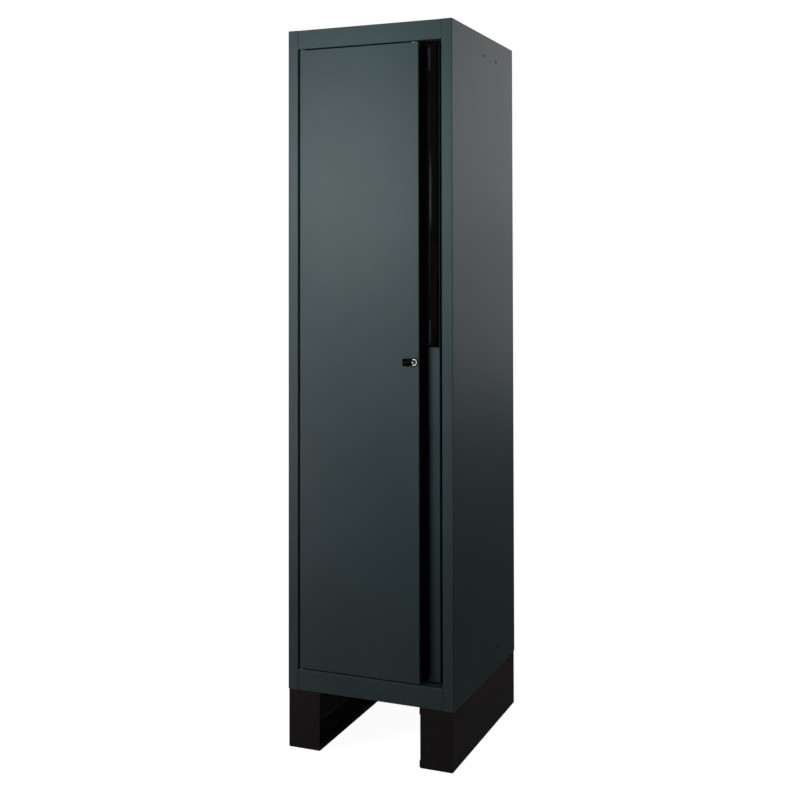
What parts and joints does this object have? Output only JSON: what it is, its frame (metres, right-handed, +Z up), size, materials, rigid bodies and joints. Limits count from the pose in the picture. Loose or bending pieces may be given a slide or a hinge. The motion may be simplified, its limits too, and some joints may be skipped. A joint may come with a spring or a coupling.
{
  "type": "workshop locker",
  "caption": "Tall narrow steel workshop locker with inset stepped door, recessed grip strip, folding key lock, shelves inside and two channel feet.",
  "frame": {"origin": "on the floor under the middle of the closed locker with its key in the lock", "axes": "+Z up, -Y towards the viewer of the door, +X to the door's closing side"},
  "size_m": [0.495, 0.5274, 2],
  "materials": {
    "painted_steel": "semi-gloss dark anthracite powder coat",
    "zinc_plated": "bright zinc plated steel",
    "black_plastic": "gloss black moulding",
    "lock_chrome": "polished chrome plated brass",
    "rubber": "matt black",
    "clear_window": "clear acrylic",
    "nylon": "dark grey nylon"
  },
  "bodies": {
    "cabinet": {"back_panel": "painted_steel", "bottom_hinge_pin": "zinc_plated", "bottom_rail": "painted_steel", "door_bumpers": "rubber", "floor_panel": "painted_steel", "foot_bolts": "zinc_plated", "foot_nuts": "zinc_plated", "left_foot_channel": "painted_steel", "left_foot_front_plate": "painted_steel", "left_foot_rear_plate": "painted_steel", "left_front_upright": "painted_steel", "left_rear_upright": "painted_steel", "left_side_panel": "painted_steel", "right_foot_channel": "painted_steel", "right_foot_front_plate": "painted_steel", "right_foot_rear_plate": "painted_steel", "right_front_upright": "painted_steel", "right_rear_upright": "painted_steel", "right_side_panel": "painted_steel", "shelf_1": "painted_steel", "shelf_2": "painted_steel", "shelf_3": "painted_steel", "shelf_4": "painted_steel", "shelf_clips": "zinc_plated", "top_hinge_pin": "zinc_plated", "top_panel": "painted_steel", "top_rail": "painted_steel"},
    "door": {"door_skin": "painted_steel", "door_stiffener": "painted_steel", "grip_strip": "black_plastic", "top_grip_cap": "black_plastic", "bottom_grip_cap": "black_plastic", "label_window": "clear_window", "grip_screws": "zinc_plated", "lock_body": "lock_chrome", "lock_nut": "zinc_plated", "escutcheon_ring": "black_plastic", "rod_guides": "zinc_plated", "top_hinge_bush": "nylon", "bottom_hinge_bush": "nylon"},
    "lock_plug": {"lock_plug": "lock_chrome", "lock_cam": "zinc_plated", "cam_screw": "zinc_plated", "key_blade": "zinc_plated", "key_pivot_pin": "zinc_plated"},
    "key_bow": {"key_bow": "black_plastic"},
    "upper_locking_rod": {"upper_locking_rod": "zinc_plated"},
    "lower_locking_rod": {"lower_locking_rod": "zinc_plated"}
  },
  "joints": [
    {"name": "door_hinge", "type": "hinge", "parent": "cabinet", "child": "door", "pos_m": [-0.203, -0.24425, 1.08], "axis": [0, 0, -1], "range_deg": [0, 110]},
    {"name": "lock_turn", "type": "hinge", "parent": "door", "child": "lock_plug", "pos_m": [0.1352, -0.25225, 1.079], "axis": [0, 1, 0], "range_deg": [0, 90]},
    {"name": "key_fold", "type": "hinge", "parent": "lock_plug", "child": "key_bow", "pos_m": [0.1352, -0.26025, 1.079], "axis": [0, 0, 1], "range_deg": [0, 180]},
    {"name": "upper_rod_slide", "type": "slide", "parent": "door", "child": "upper_locking_rod", "axis": [0, 0, 1], "range_m": [0, 0.00848]},
    {"name": "lower_rod_slide", "type": "slide", "parent": "door", "child": "lower_locking_rod", "axis": [0, 0, -1], "range_m": [0, 0.00848]}
  ],
  "couplings": [
    {"joint": "lock_turn", "follows": "upper_rod_slide", "rad_per_m": 185.12},
    {"joint": "lower_rod_slide", "follows": "upper_rod_slide", "ratio": 1}
  ]
}
